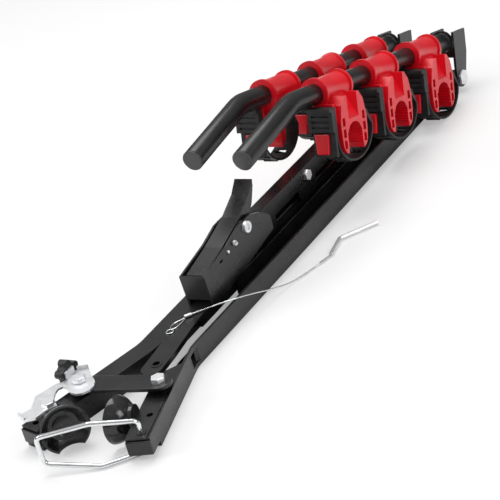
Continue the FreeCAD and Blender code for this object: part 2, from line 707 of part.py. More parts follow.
for hand, side in (("right", 1), ("left", -1)):
    bracket = make_bracket(f"{hand}_arm_bracket", side)
    toe = f"rotationz(-{side} * arm_toe)"
    guide = doc.addObject("Part::Plane", f"{hand}_arm_frame")
    place(guide, f"{toe} * rotationx(-arm_tilt) * {SIDE}", f"{side} * arm_side", "pivot_y", "pivot_z")
    frame = f"{guide.Name}.Placement"
    make_tube(f"{hand}_arm_tube", side, frame)
    make_cap(f"{hand}_arm_cap", side, frame)
    for number in (1, 2, 3):
        along = f"cradle_first - {number - 1} * cradle_pitch"
        make_cradle(f"{hand}_cradle_{number}", side, frame, along)
        make_strap(f"{hand}_strap_{number}", side, frame, along)
        make_button(f"{hand}_button_{number}", side, frame, along)

# Lever box, lever and their bolt, seen from the side: X along the mast, Y up, Z across.

box_far = "(box_near + box_long)"
cheek = [
    ("box_near + 3", "0"),
    ("box_near", "box_high"),
    ("lever_y - 53", "lever_z"),
    ("lever_y - 16", "lever_z + 10"),
    ("lever_y + 14", "lever_z + 10"),
    ("lever_y + 40", "lever_z + 1"),
    (box_far, "beam_foot + beam_high"),
    (box_far, "beam_foot + 3"),
    (f"{box_far} - 42", "14"),
    ("box_near + 74", "5"),
    ("box_near + 28", "0"),
]
lever_box = Piece("lever_box")
face = [
    ("box_near + 2.2", "bar_lift + bar_thick + 7"),
    ("box_near", "box_high"),
    ("box_near + box_sheet", "box_high"),
    ("box_near + box_sheet + 2.2", "bar_lift + bar_thick + 7"),
]
lever_box.pad(cheek, "-box_half", "box_sheet")
lever_box.pad(face, "-box_half", "2 * box_half - box_sheet")
lever_box.pad(cheek, "box_half - box_sheet", "box_sheet")
stay = box_corners(f"{box_far} - 22", f"{box_far} - 2", "beam_foot + 4", "beam_foot + 4 + box_sheet")
lever_box.pad(stay, "-box_half", "2 * box_half")
lever_box.hole("lever_y", "lever_z", "lever_bolt + seat_play", "-box_half - 1", "2 * box_half + 2")
for rivet_y, rivet_z in (("lever_y - 38", "lever_z - 5"), ("lever_y - 54", "lever_z - 9")):
    lever_box.disc(rivet_y, rivet_z, "2.6", "box_half", "1")
lever_box.cut(box_corners("lever_y - 77", "lever_y - 69", "lever_z - 13", "lever_z - 10"), "box_half - box_sheet - 1",
              "box_sheet + 2")
lever_box.place(SIDE)

top_line = [
    ("box_near + 8", "box_high - 2"),
    ("lever_y - 55", "lever_z - 1"),
    ("lever_y", "lever_z + 14"),
    ("lever_y + 35", "lever_z + 30"),
    ("lever_y + 52", "lever_z + 45"),
]
under_line = [(x, f"{y} - lever_sheet") for x, y in top_line]
skirt_line = [
    ("box_near + 9", "box_high - 11"),
    ("lever_y - 55", "lever_z - 12"),
    ("lever_y - 10", "lever_z - 9"),
    ("lever_y + 10", "lever_z - 7"),
    ("lever_y + 37", "lever_z + 16"),
    ("lever_y + 50", "lever_z + 36"),
]
lever = Piece("lever")
skirt = top_line + skirt_line[::-1]
lever.pad(skirt, "-lever_half", "lever_sheet")
lever.pad(top_line + under_line[::-1], "-lever_half", "2 * lever_half")
lever.pad(skirt, "lever_half - lever_sheet", "lever_sheet")
lever.hole("lever_y", "lever_z", "lever_bolt + axle_play", "-lever_half - 1", "2 * lever_half + 2")
lever.place(SIDE)

pin = bolt("lever_bolt_along", "lever_bolt", "-box_half", "box_half", "8", "4.5")
place(pin, "rotationy(90)", "0", "lever_y", "lever_z")
keep(pin, "lever_bolt")
coil = ring("lever_spring", "lever_bolt + 4", "lever_bolt + axle_play", "2 * (lever_half - lever_sheet) - 2")
place(coil, "rotationy(90)", "1 - lever_half + lever_sheet", "lever_y", "lever_z")
keep(coil, "lever_spring")

# Upper beam behind the lever box, with the foot and the cross bolt that hold it on the rails

beam = Piece("upper_beam")
beam_right = "(beam_left + beam_wide)"
beam.pad(box_corners("beam_left", beam_right, "beam_near", "beam_far"), "beam_foot", "beam_high")
beam.cut(box_corners("beam_left + box_sheet", f"{beam_right} - box_sheet", "beam_near - 1", "beam_far + 1"),
         "beam_foot + box_sheet", "beam_high - 2 * box_sheet")
bolt_z = "beam_foot + beam_high / 2"
beam.hole("beam_bolt_y", bolt_z, "pin_radius + seat_play", "beam_left - 1", "beam_wide + 2", "YZ_Plane")
foot = Piece("beam_foot_bracket")
foot.pad(box_corners("beam_left", beam_right, "beam_bolt_y - 24", "beam_bolt_y + 24"), "0", "beam_foot")
foot.cut(box_corners("beam_left + 4", f"{beam_right} - 4", "beam_bolt_y - 25", "beam_bolt_y + 25"), "-1",
         "beam_foot - 2")
near_foot = Piece("beam_front_bracket")
near_foot.pad(box_corners("beam_left", beam_right, "beam_near - 8", "beam_near + 30"), "0", "beam_foot")
near_foot.cut(box_corners("beam_left + 4", f"{beam_right} - 4", "beam_near - 9", "beam_near + 31"), "-1",
              "beam_foot - 2")
cross = bolt("beam_bolt_along", "pin_radius", "beam_left", beam_right, "8.5", "6")
place(cross, "rotationy(90)", "0", "beam_bolt_y", bolt_z)
keep(cross, "beam_cross_bolt")

# Pull bar, and the plate that carries its round end between the legs

bar_half_line = [
    ("0", "bar_far"),
    ("bar_shift * 0.08", "bar_near + 125"),
    ("bar_shift * 0.42", "bar_near + 80"),
    ("bar_shift * 0.8", "bar_near + 35"),
    ("bar_shift", "bar_near"),
]
bar_left = [(f"{x} - bar_half", y) for x, y in bar_half_line]
bar_right = [(f"{x} + bar_half", y) for x, y in bar_half_line]
pull_bar = Piece("pull_bar")
pull_bar.pad(bar_left + bar_right[::-1], "bar_lift", "bar_thick")
pull_bar.disc("bar_shift", "bar_near", "bar_half", "bar_lift", "bar_thick")
pull_bar.disc("bar_shift + 1", "bar_near + 9", "8", "bar_lift", "bar_thick + 1")
pull_bar.hole("bar_shift + 1", "bar_near + 9", "5", "bar_lift - 1", "bar_thick + 4")
pull_bar.disc("-6", "bar_near + 81", "2.6", "bar_lift + bar_thick", "3")

guide_plate = Piece("guide_plate")
guide_plate.pad(box_corners(f"-{trough}", trough, "bend_y + 36", "spine_near"), "-5", "5 - side_play")
tongue_left = [(f"{x} - bar_half + 2", y) for x, y in bar_half_line[2:]]
tongue_right = [(f"{x} + bar_half - 2", y) for x, y in bar_half_line[2:]]
tongue_back = [("-8", "bend_y + 45"), ("8", "bend_y + 45")]
guide_plate.pad([tongue_back[0]] + tongue_left + tongue_right[::-1] + [tongue_back[1]], "-5", "5 - side_play")
guide_plate.disc("bar_shift - 2", "bar_near - 3", "10.5", "-5", "5 - side_play")

# Tie bar, its spacers and the clamp's two upright bolts

jaw_x, jaw_y = leg_point(*JAW, -1)
tie_x, tie_y = leg_point(*TIE)
tie_long = f"sqrt(({tie_x} - {jaw_x})^2 + ({tie_y} - {jaw_y})^2)"
tie_turn = f"rotationz(atan2({tie_y} - {jaw_y}; {tie_x} - {jaw_x}))"
tie = Piece("tie_bar")
tie.pad(box_corners("0", tie_long, "-tie_half", "tie_half"), "0", "tie_thick")
tie.disc("0", "0", "tie_half", "0", "tie_thick")
tie.disc(tie_long, "0", "tie_half", "0", "tie_thick")
tie.hole("0", "0", "pin_radius + seat_play", "-1", "tie_thick + 2")
tie.hole(tie_long, "0", "pin_radius + seat_play", "-1", "tie_thick + 2")
tie.place(tie_turn, jaw_x, jaw_y, "tie_lift")

tie_top = "(tie_lift + tie_thick)"
jaw_base = f"({tie_top} + side_play)"
spacers = []
uprights = []
for x, y, top in ((jaw_x, jaw_y, f"{jaw_base} + jaw_thick + side_play"), (tie_x, tie_y, tie_top)):
    spacer = ring(f"tie_spacer_{len(spacers)}", "pin_radius + 5", "pin_radius + seat_play", "tie_lift")
    place(spacer, FLAT, x, y, "0")
    spacers.append(spacer)
    upright = bolt(f"upright_{len(uprights)}", "pin_radius", "-rail_wall", top, "9.5", "7")
    place(upright, FLAT, x, y, "0")
    uprights.append(upright)
keep(joined("Part::Compound", "tie_bar_spacers", spacers), "tie_bar_spacers")
keep(joined("Part::Compound", "clamp_bolts", uprights), "clamp_bolts")

# Cups. The right one is fixed to its leg. The left one turns with the jaw about the left upright bolt.


def sphere(name, radius):
    part = doc.addObject("Part::Sphere", name)
    part.setExpression("Radius", bound(radius))
    return part


def block(name, x_low, x_high, y_low, y_high, z_low, z_high):
    part = doc.addObject("Part::Box", name)
    for axis, low, high in (("Length", x_low, x_high), ("Width", y_low, y_high), ("Height", z_low, z_high)):
        part.setExpression(axis, bound(f"({high}) - ({low})"))
    place(part, FLAT, x_low, y_low, z_low)
    return part


def neck_room(name):
    room = cylinder(name, "neck_radius", "60")
    place(room, FLAT, "0", "0", "-neck_top - 60")
    return room


BALL_X = (f"({LEG_X} - (cup_radius + rail_width - ({LEG_Y}) * sin(leg_flare)) / cos(leg_flare)"
          " - ball_y * tan(leg_flare))")
dome = sphere("right_dome", "cup_radius")
boss = cylinder("right_boss", "16", "cup_radius")
place(boss, "rotationz(leg_flare) * rotationy(90)", "0", "0", "0")
solid = joined("Part::MultiFuse", "right_cup_solid", [dome, boss])
keep_side = block("right_keep", "cup_gap", "120", "-60", "60", "0.4 - rail_height", "60")
trimmed = joined("Part::MultiCommon", "right_cup_trimmed", [solid, keep_side])
seat = sphere("right_seat", "ball_radius")
opened = joined("Part::Cut", "right_cup_opened", (trimmed, seat))
right_cup = joined("Part::Cut", "right_cup", (opened, neck_room("right_neck")))
place(right_cup, FLAT, BALL_X, "ball_y", "0")
keep(right_cup, "right_cup")

cup_x = f"({jaw_x} + ({BALL_X} - {jaw_x}) * cos(jaw_open) + (ball_y - {jaw_y}) * sin(jaw_open))"
cup_y = f"({jaw_y} - ({BALL_X} - {jaw_x}) * sin(jaw_open) + (ball_y - {jaw_y}) * cos(jaw_open))"
cup_turn = "rotationz(-jaw_open - jaw_turn)"
shell = sphere("left_shell", "left_radius")
half = block("left_keep", "-60", "-cup_gap", "-60", "60", "0.4 - rail_height", "60")
left_half = joined("Part::MultiCommon", "left_cup_half", [shell, half])
arm_low = "side_play"
cup_arm = block("left_cup_arm", "-arm_to_bolt - 9", "-ball_radius - 1", "-16", "8", arm_low, tie_top)
whole = joined("Part::MultiFuse", "left_cup_whole", [left_half, cup_arm])
left_seat = sphere("left_seat", "ball_radius")
left_bolt_hole = cylinder("left_bolt_hole", "pin_radius + seat_play", "40")
place(left_bolt_hole, FLAT, "-arm_to_bolt", "-4", "-10")
mouth = doc.addObject("Part::Cone", "left_mouth")
for size, formula in (("Radius1", "cup_mouth"), ("Radius2", "cup_mouth - 11"), ("Height", "12.5")):
    mouth.setExpression(size, bound(formula))
place(mouth, "rotationy(-90)", "0.5 - cup_gap", "0", "0")
left_tools = joined("Part::MultiFuse", "left_tools", [left_seat, mouth, neck_room("left_neck"), left_bolt_hole])
left_cup = joined("Part::Cut", "left_cup", (whole, left_tools))
place(left_cup, cup_turn, cup_x, cup_y, "0")
keep(left_cup, "left_cup")

turn_sum = "(jaw_open + jaw_turn)"
bolt_x = f"({cup_x} - arm_to_bolt * cos{turn_sum} - 4 * sin{turn_sum})"
bolt_y = f"({cup_y} + arm_to_bolt * sin{turn_sum} - 4 * cos{turn_sum})"
jaw_bolt = bolt("jaw_bolt_along", "pin_radius", arm_low, f"{jaw_base} + jaw_thick", "9", "6", False)
place(jaw_bolt, FLAT, bolt_x, bolt_y, "0")

# The zinc plate's outline is counted from the jaw's pivot.
PLATE = [(-41.5, -81.4), (-24.7, -90.9), (-12, -84), (-8.5, -67.5), (1, -54), (-9, -45), (-15.5, -37), (-20, -27),
         (-21.5, -19), (-18, -14.5), (-11, -16), (3.4, -25.9), (12, -27.5), (20.5, -24.5), (26.5, -16), (26.5, -6),
         (21, 4), (12, 12), (5, 17), (-3, 27), (-6.9, 31.3), (-20.5, 26), (-24, 20), (-24, -4), (-32, -10),
         (-43.3, -39.3), (-31.4, -66.3)]
jaw_plate = Piece("jaw_plate")
jaw_plate.pad([(str(x), str(y)) for x, y in PLATE], "0", "jaw_thick")
jaw_plate.pad(box_corners("-24", "-21", "2", "20"), "0", f"knob_z - {jaw_base} + 8")
lip = [("-41.5", "-81.4"), ("-24.7", "-90.9"), ("-23.2", "-88.3"), ("-40", "-78.8")]
jaw_plate.pad(lip, "0", "6")
fold = [("-6.9", "31.3"), ("-20.5", "26"), ("-19.5", "23.2"), ("-6", "28.6")]
jaw_plate.pad(fold, "0", "8")
jaw_plate.hole("0", "0", "pin_radius + axle_play", "-1", "jaw_thick + 2")
jaw_plate.hole(f"{bolt_x} - {jaw_x}", f"{bolt_y} - {jaw_y}", "pin_radius + seat_play", "-1", "jaw_thick + 2")
jaw_plate.hole(f"knob_y - {jaw_y}", f"knob_z - {jaw_base}", "stud_radius + seat_play", "-40", "22", "YZ_Plane")
jaw_plate.place(FLAT, jaw_x, jaw_y, jaw_base)
keep(jaw_bolt, "jaw_bolt")

# Star knob and its stud, which points out to the left

stud = cylinder("knob_stud", "stud_radius", "26")
place(stud, "rotationy(-90)", f"{jaw_x} - 21", "knob_y", "knob_z")
keep(stud, "knob_stud")
knob = Piece("star_knob")
knob.disc("0", "0", "knob_radius", "0", "13")
for lobe in range(5):
    knob.disc(f"knob_radius * cos({72 * lobe})", f"knob_radius * sin({72 * lobe})", "5.5", "0", "13")
knob.hole("0", "0", "stud_radius + axle_play", "-1", "15")
knob.place("rotationy(-90)", f"{jaw_x} - 24 - side_play", "knob_y", "knob_z")


# Rods and wires

def circle_sweep(wire, radius):
    """A round rod along a wire of straight runs and tangent arcs."""
    start = wire.OrderedVertexes[0].Point
    along = wire.OrderedEdges[0].tangentAt(wire.OrderedEdges[0].FirstParameter)
    section = Part.Wire([Part.makeCircle(radius, start, along)])
    return wire.makePipeShell([section], True, False)


def rounded_wire(points, radii):
    """Straight runs between the points, with an arc of the given radius at each inner point."""
    edges = []
    last = points[0]
    for before, corner, after, radius in zip(points, points[1:], points[2:], radii):
        back = (before - corner).normalize()
        ahead = (after - corner).normalize()
        half = back.getAngle(ahead) / 2
        reach_out = radius / math.tan(half)
        start = corner + back * reach_out
        end = corner + ahead * reach_out
        middle = (back + ahead).normalize()
        centre = corner + middle * (radius / math.sin(half))
        edges.append(Part.LineSegment(last, start).toShape())
        edges.append(Part.Arc(start, centre - middle * radius, end).toShape())
        last = end
    edges.append(Part.LineSegment(last, points[-1]).toShape())
    return Part.Wire(edges)


def cord_radii(points):
    """Each corner's arc is as large as its two runs allow."""
    radii = []
    for before, corner, after in zip(points, points[1:], points[2:]):
        shorter = min((corner - before).Length, (after - corner).Length)
        half_turn = (math.pi - (before - corner).getAngle(after - corner)) / 2
        radii.append(0.45 * shorter / math.tan(half_turn))
    return radii


def solid_of(label, shape):
    part = doc.addObject("Part::Feature", label)
    part.Shape = shape
    keep(part, label)
    return part


bail_x, bail_y = (value(word) for word in leg_point(*BAIL))
floor_z = -value("rail_height")
rod = value("bail_radius")
low_rod = floor_z + rod + 0.1
high_rod = value("bail_high")
bail_points = [
    V(bail_x, bail_y, -value("rail_wall") - 6),
    V(bail_x, bail_y, 17),
    V(38, -44, high_rod),
    V(-32, -64, 21),
    V(-32, -64, -17),
    V(38, -44, low_rod),
    V(bail_x, bail_y, low_rod),
    V(bail_x, bail_y, low_rod + 14),
]
bail_wire = rounded_wire(bail_points, [value("bail_bend")] * (len(bail_points) - 2))
solid_of("bail", circle_sweep(bail_wire, rod))
clip = ring("bail_washer", "bail_radius + 3", "bail_radius + axle_play", "1.2")
place(clip, FLAT, *leg_point(*BAIL), "0")
keep(clip, "bail_washer")

# Lanyard: a ring on the pull bar's stud, a wire with a crimped loop, and a cranked pin on the floor

wire_radius = value("wire_radius")
bar_top = value("bar_lift + bar_thick")
ring_z = bar_top + 1.0
near = value("bar_near")
split_ring = Part.makeTorus(5.0, 0.9, V(-6, near + 82.2, ring_z))
solid_of("lanyard_ring", split_ring)

route = [
    V(3, 246, 6.8),
    V(24, 270, 6.0),
    V(43, 292, 4.4),
    V(53, 322, -5),
    V(60, 352, -17),
    V(67, 384, -27.5),
    V(76, 408, floor_z + wire_radius + 0.1),
    V(83, 432, floor_z + wire_radius + 0.1),
]
lanyard = circle_sweep(rounded_wire(route, cord_radii(route)), wire_radius)
solid_of("lanyard_wire", lanyard)

loop_z = bar_top + wire_radius * 0.8 + 0.1
loop_points = [V(x, y, loop_z) for x, y in ((-4, 236), (-11, 227), (-12, 217), (-7, 211), (-2, 217), (-2.4, 234))]
solid_of("lanyard_loop", circle_sweep(rounded_wire(loop_points, [2.2, 3, 2.6, 2.2]), wire_radius * 0.8))


def crimp(start, direction, radius, length):
    return Part.makeCylinder(radius, length, start, direction)


first_run = (route[1] - route[0]).normalize()
last_run = (route[-1] - route[-2]).normalize()
head_crimp = crimp(route[0], first_run * -1, 2.2, 10)
sleeve_at = route[-1]
eye_dir = V(last_run.x, last_run.y, 0).normalize()
tail_crimp = crimp(sleeve_at, eye_dir, 1.1, 10)
eye_at = sleeve_at + eye_dir * 10
solid_of("lanyard_ferrules", Part.makeCompound([head_crimp, tail_crimp]))
fork = crimp(eye_at + V(0, 0, 0.6), eye_dir, 1.7, 22)
solid_of("lanyard_fork", fork)
pin_radius = value("hitch_radius")
pin_z = floor_z + pin_radius + 0.05
pin_start = eye_at + eye_dir * 23.2
pin_points = [
    V(pin_start.x, pin_start.y, pin_z),
    V(84, 508, pin_z),
    V(121, 555, pin_z),
]
solid_of("hitch_pin", circle_sweep(rounded_wire(pin_points, [6.0]), pin_radius))

# The row's origin is the ball's centre, so every node moves there from the mast's own datum.

to_ball = bound(f"placement(vector(-{BALL_X}; -ball_y; 0); {FLAT})")
for thing in nodes:
    own = dict(thing.ExpressionEngine).get("Placement")
    thing.setExpression("Placement", f"{to_ball} * {own}" if own else to_ball)

# Checks, then one file for each node

doc.recompute()
for thing in doc.Objects:
    if "Invalid" in thing.State or "Error" in thing.State:
        raise RuntimeError(f"{thing.Label} failed: {thing.State}")
for thing in nodes:
    if thing.Shape.isNull() or not thing.Shape.isValid() or not thing.Shape.Solids:
        raise RuntimeError(f"{thing.Label} has no valid solid")
os.makedirs("parts", exist_ok=True)
for thing in nodes:
    thing.Shape.exportStep(os.path.join("parts", f"{thing.Label}.step"))
print(len(nodes), "nodes")
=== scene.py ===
"""Looks of a folded tow-ball cycle rack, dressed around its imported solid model."""

import json
import logging
import math
from dataclasses import dataclass, field
from enum import Enum

import bpy
from mathutils import Matrix, Vector

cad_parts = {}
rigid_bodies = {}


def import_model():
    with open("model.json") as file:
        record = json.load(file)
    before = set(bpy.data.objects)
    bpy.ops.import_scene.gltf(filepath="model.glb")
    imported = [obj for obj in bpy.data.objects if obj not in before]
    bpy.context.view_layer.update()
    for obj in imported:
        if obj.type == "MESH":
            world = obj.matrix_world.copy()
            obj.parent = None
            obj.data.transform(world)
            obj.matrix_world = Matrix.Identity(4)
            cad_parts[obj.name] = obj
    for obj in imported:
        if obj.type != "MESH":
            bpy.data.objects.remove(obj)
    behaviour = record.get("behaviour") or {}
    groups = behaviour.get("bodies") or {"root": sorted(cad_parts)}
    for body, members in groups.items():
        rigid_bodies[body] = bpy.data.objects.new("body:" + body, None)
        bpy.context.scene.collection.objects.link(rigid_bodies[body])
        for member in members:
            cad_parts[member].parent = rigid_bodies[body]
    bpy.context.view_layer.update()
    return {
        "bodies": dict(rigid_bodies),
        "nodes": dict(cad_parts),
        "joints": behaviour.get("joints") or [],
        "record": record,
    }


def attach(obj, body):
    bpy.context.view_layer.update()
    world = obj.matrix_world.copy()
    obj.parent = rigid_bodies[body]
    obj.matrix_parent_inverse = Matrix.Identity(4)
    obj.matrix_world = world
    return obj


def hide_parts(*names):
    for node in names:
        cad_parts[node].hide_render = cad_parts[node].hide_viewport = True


LOG = logging.getLogger("rack")
FRAME_PIXELS = 500
HINGE_Y = 0.983  # the arms' hinge along the mast, counted from the mast's datum

Triple = tuple[float, float, float]


class Slot(Enum):
    """The record's material slots."""

    PAINT = "black_paint"
    ZINC = "zinc_plate"
    RED = "red_plastic"
    RUBBER = "black_rubber"
    PLASTIC = "black_plastic"
    CASTING = "cup_lining"
    CAP = "cap_plastic"
    STEEL = "bright_steel"


class Side(Enum):
    """The two arms, with the sign of X on which each lies."""

    RIGHT = 1
    LEFT = -1


# Shader maths


class Wire:
    """One shader socket, whose operators add the Math nodes of an expression."""

    def __init__(self, tree: bpy.types.NodeTree, socket: bpy.types.NodeSocket) -> None:
        """Keeps the tree and the socket."""
        self.tree = tree
        self.socket = socket

    def maths(self, operation: str, *others: "Wire | float", first: "Wire | float | None" = None) -> "Wire":
        """Adds one Math node.

        Args:
            operation: the Math node's operation.
            others: the values after the first.
            first: the first value, which is this socket unless it is given.

        Returns:
            The node's value.
        """
        node = self.tree.nodes.new("ShaderNodeMath")
        node.operation = operation
        for index, value in enumerate([self if first is None else first, *others]):
            if isinstance(value, Wire):
                self.tree.links.new(value.socket, node.inputs[index])
            else:
                node.inputs[index].default_value = value
        return Wire(self.tree, node.outputs[0])

    def __add__(self, other: "Wire | float") -> "Wire":
        """Returns the sum."""
        return self.maths("ADD", other)

    __radd__ = __add__

    def __sub__(self, other: "Wire | float") -> "Wire":
        """Returns the difference."""
        return self.maths("SUBTRACT", other)

    def __rsub__(self, other: float) -> "Wire":
        """Returns other less this."""
        return self.maths("SUBTRACT", self, first=other)

    def __mul__(self, other: "Wire | float") -> "Wire":
        """Returns the product."""
        return self.maths("MULTIPLY", other)

    __rmul__ = __mul__

    def __truediv__(self, other: "Wire | float") -> "Wire":
        """Returns the quotient."""
        return self.maths("DIVIDE", other)

    def clamped(self) -> "Wire":
        """Returns the value held between 0 and 1."""
        return self.maths("MINIMUM", 1.0).maths("MAXIMUM", 0.0)


class Nodes:
    """A node tree under construction."""

    def __init__(self, tree: bpy.types.NodeTree) -> None:
        """Empties the tree and keeps it."""
        self.tree = tree
        self.tree.nodes.clear()

    def node(self, kind: str, settings: dict | None = None, **values: object) -> dict[str, Wire]:
        """Adds any node.

        Args:
            kind: the node's type.
            settings: attributes that are set first; "stops" holds a ramp's places and colours.
            values: numbers, colours or wires for its sockets, with _ for a space in a name.

        Returns:
            The node's outputs by name.
        """
        node = self.tree.nodes.new(kind)
        for key, value in (settings or {}).items():
            if key == "stops":
                self.ramp(node, value)
            else:
                setattr(node, key, value)
        for key, value in values.items():
            self.feed(node.inputs[key.replace("_", " ")], value)
        return {output.name: Wire(self.tree, output) for output in node.outputs if output.enabled}

    @staticmethod
    def ramp(node: bpy.types.Node, stops: tuple[tuple[float, float], ...]) -> None:
        """Sets the stops of a ramp to places and grey values."""
        elements = node.color_ramp.elements
        while len(elements) < len(stops):
            elements.new(0.5)
        for element, (place, grey) in zip(elements, stops):
            element.position = place
            element.color = (grey, grey, grey, 1.0)

    def feed(self, socket: bpy.types.NodeSocket, value: object) -> None:
        """Links a wire to a socket, or sets its value."""
        if isinstance(value, Wire):
            self.tree.links.new(value.socket, socket)
        elif isinstance(value, tuple) and len(value) == 3 and socket.type == "RGBA":
            socket.default_value = (*value, 1.0)
        else:
            socket.default_value = value

    def blend(self, share: "Wire | float", first: Wire, second: Wire) -> Wire:
        """Returns a surface between two others."""
        node = self.tree.nodes.new("ShaderNodeMixShader")
        for socket, value in zip(node.inputs, (share, first, second)):
            self.feed(socket, value)
        return Wire(self.tree, node.outputs[0])


class Shader(Nodes):
    """A material under construction around one Principled node."""

    def __init__(self, name: str) -> None:
        """Starts an empty material of that name."""
        self.material = bpy.data.materials.new(name)
        self.material.use_nodes = True
        super().__init__(self.material.node_tree)
        self.place = self.node("ShaderNodeTexCoord").get("Object")
        self.surface = self.tree.nodes.new("ShaderNodeBsdfPrincipled")
        self.output = self.tree.nodes.new("ShaderNodeOutputMaterial")
        self.tree.links.new(self.surface.outputs[0], self.output.inputs["Surface"])

    def noise(self, scale: float, detail: float = 2.0, stretch: Triple = (1.0, 1.0, 1.0)) -> Wire:
        """Noise on the piece's own place.

        Args:
            scale: grains in a metre.
            detail: octaves.
            stretch: how the place is scaled first.

        Returns:
            A value about 0.5.
        """
        place = self.place
        if stretch != (1.0, 1.0, 1.0):
            place = self.node("ShaderNodeMapping", Vector=place, Scale=stretch)["Vector"]
        texture = self.node("ShaderNodeTexNoise", Vector=place, Scale=scale, Detail=detail)
        return texture.get("Fac") or texture["Factor"]

    def shaped(self, value: Wire, low: float, high: float) -> Wire:
        """Returns a value stretched so that low gives 0 and high gives 1."""
        return ((value - low) / (high - low)).clamped()

    def mix(self, share: "Wire | float", a: "Triple | Wire", b: "Triple | Wire") -> Wire:
        """Returns a colour between two others."""
        node = self.tree.nodes.new("ShaderNodeMix")
        node.data_type = "RGBA"
        self.feed(node.inputs[0], share)
        self.feed(node.inputs[6], a)
        self.feed(node.inputs[7], b)
        return Wire(self.tree, node.outputs[2])

    def bump(self, height: Wire, depth: float, strength: float = 1.0, under: Wire | None = None) -> Wire:
        """Returns a normal bent by a height, which is depth metres at 1."""
        values = {"Height": height, "Strength": strength, "Distance": depth}
        if under is not None:
            values["Normal"] = under
        return self.node("ShaderNodeBump", None, **values)["Normal"]

    def dress(self, **values: object) -> bpy.types.Material:
        """Sets the Principled node's sockets and returns the material."""
        for key, value in values.items():
            self.feed(self.surface.inputs[key.replace("_", " ")], value)
        return self.material


@dataclass(frozen=True)
class PowderCoat:
    """Satin black powder coat: fine peel, a little dust on it."""

    name: str = "satin_powder_coat"
    colour: Triple = (0.0050, 0.0050, 0.0055)
    dust: Triple = (0.014, 0.014, 0.0145)
    roughness: float = 0.27
    peel: float = 900.0
    peel_depth: float = 0.00006
    peel_strength: float = 0.55
    cloud_scale: float = 26.0
    dust_share: float = 0.55
    reflection: float = 0.55

    def make(self) -> bpy.types.Material:
        """Returns the material."""
        s = Shader(self.name)
        cloud = s.shaped(s.noise(self.cloud_scale, 5.0), 0.38, 0.72)
        fine = s.noise(self.peel, 2.0)
        colour = s.mix(cloud * self.dust_share, self.colour, self.dust)
        rough = self.roughness + cloud * 0.10 + (s.noise(240.0) - 0.5) * 0.12
        return s.dress(
            Base_Color=colour, Roughness=rough, Specular_IOR_Level=self.reflection,
            Normal=s.bump(fine, self.peel_depth, self.peel_strength),
        )


@dataclass(frozen=True)
class ZincPlate:
    """Bright zinc over pressed steel: faint cloudy passivation and fine rolling lines."""

    name: str = "bright_zinc"
    colour: Triple = (0.90, 0.91, 0.92)
    cloud: Triple = (0.78, 0.79, 0.81)
    roughness: float = 0.34
    metal: float = 0.92
    cloud_scale: float = 95.0
    line_scale: float = 420.0
    line_stretch: Triple = (1.0, 9.0, 1.0)

    def make(self) -> bpy.types.Material:
        """Returns the material."""
        s = Shader(self.name)
        cloud = s.shaped(s.noise(self.cloud_scale, 4.0), 0.35, 0.7)
        lines = s.noise(self.line_scale, 2.0, self.line_stretch)
        return s.dress(
            Base_Color=s.mix(cloud, self.colour, self.cloud), Metallic=self.metal,
            Roughness=self.roughness + cloud * 0.12 + (lines - 0.5) * 0.1,
            Normal=s.bump(lines, 0.00003, 0.35),
        )


@dataclass(frozen=True)
class RedPlastic:
    """Bright red moulded plastic with a soft gloss and a fine moulded grain."""

    name: str = "red_moulding"
    colour: Triple = (0.74, 0.003, 0.014)
    shade: Triple = (0.60, 0.002, 0.010)
    roughness: float = 0.30
    flow_scale: float = 34.0
    grain_scale: float = 1600.0
    gloss: float = 0.18

    def make(self) -> bpy.types.Material:
        """Returns the material."""
        s = Shader(self.name)
        flow = s.shaped(s.noise(self.flow_scale, 3.0), 0.3, 0.75)
        grain = s.noise(self.grain_scale, 1.0)
        return s.dress(
            Base_Color=s.mix(flow, self.colour, self.shade), Roughness=self.roughness + flow * 0.08,
            Specular_IOR_Level=0.5, Coat_Weight=self.gloss, Coat_Roughness=0.2,
            Normal=s.bump(grain, 0.00004, 0.4),
        )


@dataclass(frozen=True)
class Rubber:
    """Matt black rubber with a pale bloom in places."""

    name: str = "strap_rubber"
    colour: Triple = (0.010, 0.010, 0.011)
    bloom: Triple = (0.030, 0.030, 0.032)
    roughness: float = 0.52
    cloud_scale: float = 60.0
    grain_scale: float = 1300.0
    grain_depth: float = 0.00009

    def make(self) -> bpy.types.Material:
        """Returns the material."""
        s = Shader(self.name)
        cloud = s.shaped(s.noise(self.cloud_scale, 4.0), 0.42, 0.74)
        grain = s.noise(self.grain_scale, 3.0)
        return s.dress(
            Base_Color=s.mix(cloud * 0.7, self.colour, self.bloom),
            Roughness=self.roughness + (grain - 0.5) * 0.2,
            Specular_IOR_Level=0.42, Normal=s.bump(grain, self.grain_depth, 0.6),
        )


@dataclass(frozen=True)
class HardPlastic:
    """Moulded black or grey plastic with a spark-eroded grain."""

    name: str = "knob_plastic"
    colour: Triple = (0.008, 0.008, 0.009)
    worn: Triple = (0.022, 0.022, 0.024)
    roughness: float = 0.42

    def make(self) -> bpy.types.Material:
        """Returns the material."""
        s = Shader(self.name)
        cloud = s.shaped(s.noise(120.0, 3.0), 0.4, 0.75)
        grain = s.noise(1800.0, 2.0)
        return s.dress(
            Base_Color=s.mix(cloud * 0.6, self.colour, self.worn),
            Roughness=self.roughness + cloud * 0.1,
            Normal=s.bump(grain, 0.00008, 0.55),
        )


